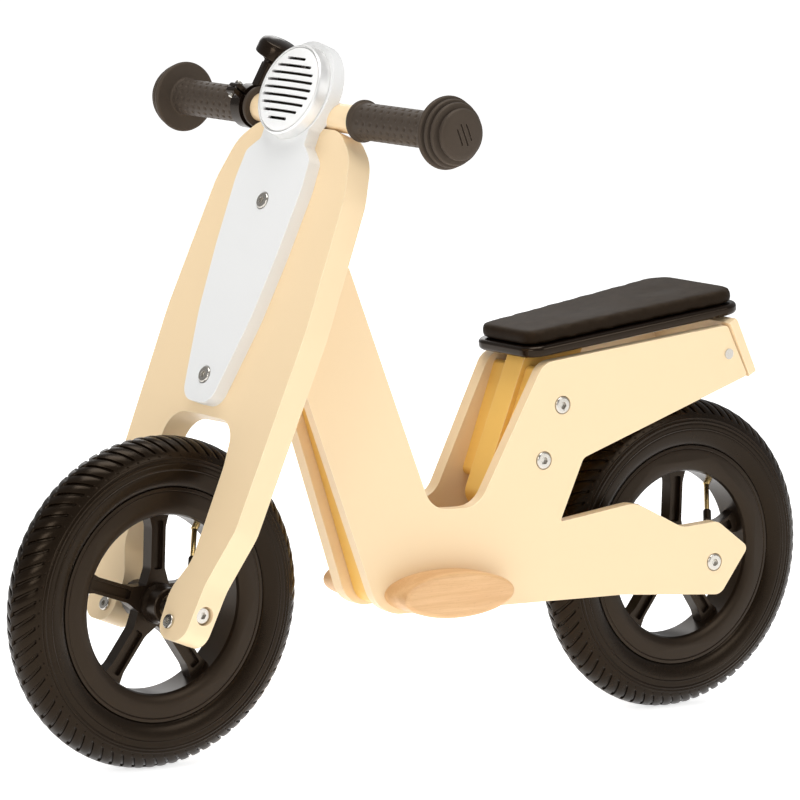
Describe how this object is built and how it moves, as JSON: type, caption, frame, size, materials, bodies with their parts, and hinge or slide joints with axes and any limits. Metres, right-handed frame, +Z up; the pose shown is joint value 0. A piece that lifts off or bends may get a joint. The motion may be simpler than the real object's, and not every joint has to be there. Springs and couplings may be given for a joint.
{
  "type": "balance bike",
  "caption": "Wooden balance bike with splayed side panels, a leaning board fork, pneumatic wheels, steering handlebar with bell and a height-adjustable padded seat.",
  "frame": {"origin": "on the ground, midway between the wheels and in the middle of the width", "axes": "+X forward, +Y to the rider's left, +Z up"},
  "size_m": [0.893, 0.45, 0.6432],
  "materials": {
    "cream_paint": "satin cream lacquer over plywood",
    "white_paint": "satin white lacquer",
    "beech": "clear-lacquered beech",
    "tyre_rubber": "matte black rubber",
    "tube_rubber": "smooth black butyl rubber",
    "grip_rubber": "matte black rubber with raised dots",
    "seat_foam": "fine-grained brown-black foam",
    "black_plastic": "satin black moulded plastic",
    "gloss_black": "glossy black moulded plastic",
    "silver_plastic": "satin silver",
    "chrome": "brushed bright ring",
    "zinc": "zinc plated",
    "brass": "bright brass",
    "nylon": "natural nylon"
  },
  "bodies": {
    "frame": {"frame_panel_left": "cream_paint", "frame_panel_right": "cream_paint", "leg_shield_board": "cream_paint", "bottom_board": "cream_paint", "head_block": "cream_paint", "steering_bushes": "nylon", "tail_plate": "cream_paint", "tail_bolts": "zinc", "tail_barrel_nuts": "zinc", "footrest_left": "beech", "footrest_right": "beech", "footrest_screws": "zinc", "seat_spacers": "cream_paint", "seat_clamp_bolts": "zinc", "seat_clamp_nuts": "zinc", "rear_axle": "zinc", "rear_axle_bolts": "zinc", "rear_axle_spacers": "black_plastic"},
    "fork": {"fork_front_plate": "cream_paint", "shield_plate": "white_paint", "shield_bolts": "zinc", "shield_nuts": "zinc", "steering_bracket_upper": "zinc", "steering_bracket_lower": "zinc", "steering_bolt": "zinc", "steering_nut": "zinc", "lamp_ring": "chrome", "lamp_grille": "silver_plastic", "lamp_backing": "black_plastic", "lamp_screws": "zinc", "handlebar": "cream_paint", "handlebar_screws": "zinc", "grip_left": "grip_rubber", "grip_right": "grip_rubber", "front_axle": "zinc", "front_axle_bolts": "zinc", "front_axle_spacers": "black_plastic", "leg_bolts": "zinc", "bell_clamp": "gloss_black", "bell_clamp_screw": "zinc", "bell_arm": "gloss_black", "bell_cap": "gloss_black", "bell_lever_pin": "zinc"},
    "bell_thumb_lever": {"bell_lever": "gloss_black"},
    "front_wheel": {"front_tyre": "tyre_rubber", "front_inner_tube": "tube_rubber", "front_rim": "black_plastic", "front_valve": "brass", "front_valve_cap": "black_plastic", "front_bearings": "zinc"},
    "rear_wheel": {"rear_tyre": "tyre_rubber", "rear_inner_tube": "tube_rubber", "rear_rim": "black_plastic", "rear_valve": "brass", "rear_valve_cap": "black_plastic", "rear_bearings": "zinc"},
    "seat": {"seat_pad": "seat_foam", "seat_tray": "gloss_black", "seat_post": "cream_paint", "seat_screws": "zinc"}
  },
  "joints": [
    {"name": "steering", "type": "hinge", "parent": "frame", "child": "fork", "pos_m": [0.26338, 0, 0.13604], "axis": [-0.3551, 0, 0.9348], "range_deg": [-35, 35]},
    {"name": "front_wheel_spin", "type": "hinge", "parent": "fork", "child": "front_wheel", "pos_m": [0.2975, 0, 0.149], "axis": [0, 1, 0], "continuous": true},
    {"name": "rear_wheel_spin", "type": "hinge", "parent": "frame", "child": "rear_wheel", "pos_m": [-0.2975, 0, 0.149], "axis": [0, 1, 0], "continuous": true},
    {"name": "seat_height", "type": "slide", "parent": "frame", "child": "seat", "axis": [-0.342, 0, 0.9397], "range_m": [0, 0.04]},
    {"name": "bell_press", "type": "hinge", "parent": "fork", "child": "bell_thumb_lever", "pos_m": [0.11897, -0.07799, 0.60781], "axis": [-0.1244, -0.9367, 0.3274], "range_deg": [0, 18], "stiffness_Nm_per_rad": 0.03, "springref_deg": -5.73}
  ]
}
